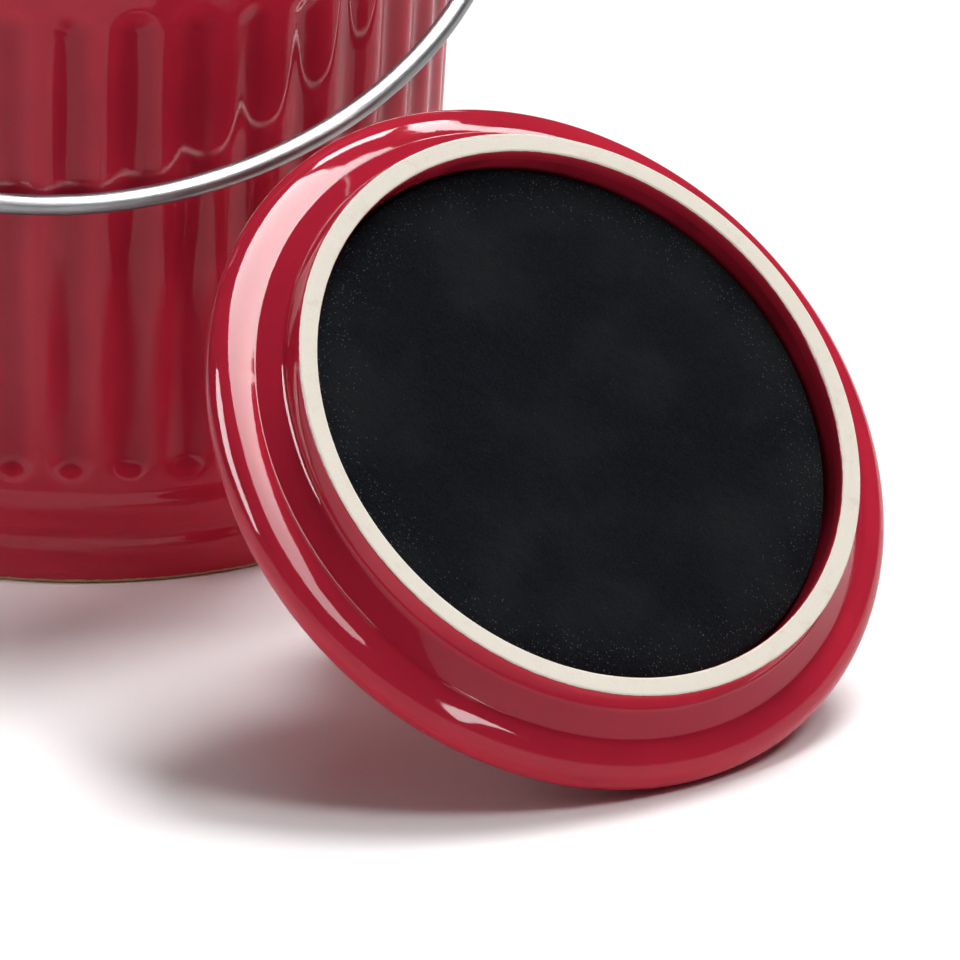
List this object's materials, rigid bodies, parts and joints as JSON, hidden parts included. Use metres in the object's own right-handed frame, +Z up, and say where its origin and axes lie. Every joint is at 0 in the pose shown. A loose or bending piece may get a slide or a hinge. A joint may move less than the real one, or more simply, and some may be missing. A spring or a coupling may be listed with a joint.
{
  "type": "compost crock",
  "caption": "Fluted glazed ceramic compost crock with a swinging wire bail and a domed, vented lid whose flange holds a charcoal filter pad.",
  "frame": {"origin": "centre of the crock's foot, on the surface it stands on", "axes": "+Z up along the crock's axis, the bail swings on an axis parallel to X and hangs at the front, -Y; the lid rests to the front right"},
  "size_m": [0.3297, 0.3135, 0.178],
  "materials": {
    "crock_glaze": "glossy red glaze, unglazed cream foot ring",
    "lid_glaze": "glossy red glaze, unglazed cream rim",
    "bail_wire": "satin",
    "filter_felt": "matte black carbon-filled felt"
  },
  "bodies": {
    "crock": {"crock_body": "crock_glaze"},
    "bail": {"bail_handle": "bail_wire"},
    "lid": {"lid": "lid_glaze"},
    "filter": {"charcoal_filter": "filter_felt"}
  },
  "joints": [
    {"name": "bail_swing", "type": "hinge", "parent": "crock", "child": "bail", "pos_m": [0, 0, 0.16], "axis": [-1, 0, 0], "range_deg": [0, 242]},
    {"name": "lid_lift", "type": "hinge", "parent": "crock", "child": "lid", "pos_m": [0.08823, -0.0867, 0.1673], "axis": [-0.7009, -0.7133, 0], "range_deg": [0, 225.3]},
    {"name": "filter_pull", "type": "slide", "parent": "lid", "child": "filter", "axis": [0.507, -0.4982, 0.7034], "range_m": [0, 0.04]}
  ]
}
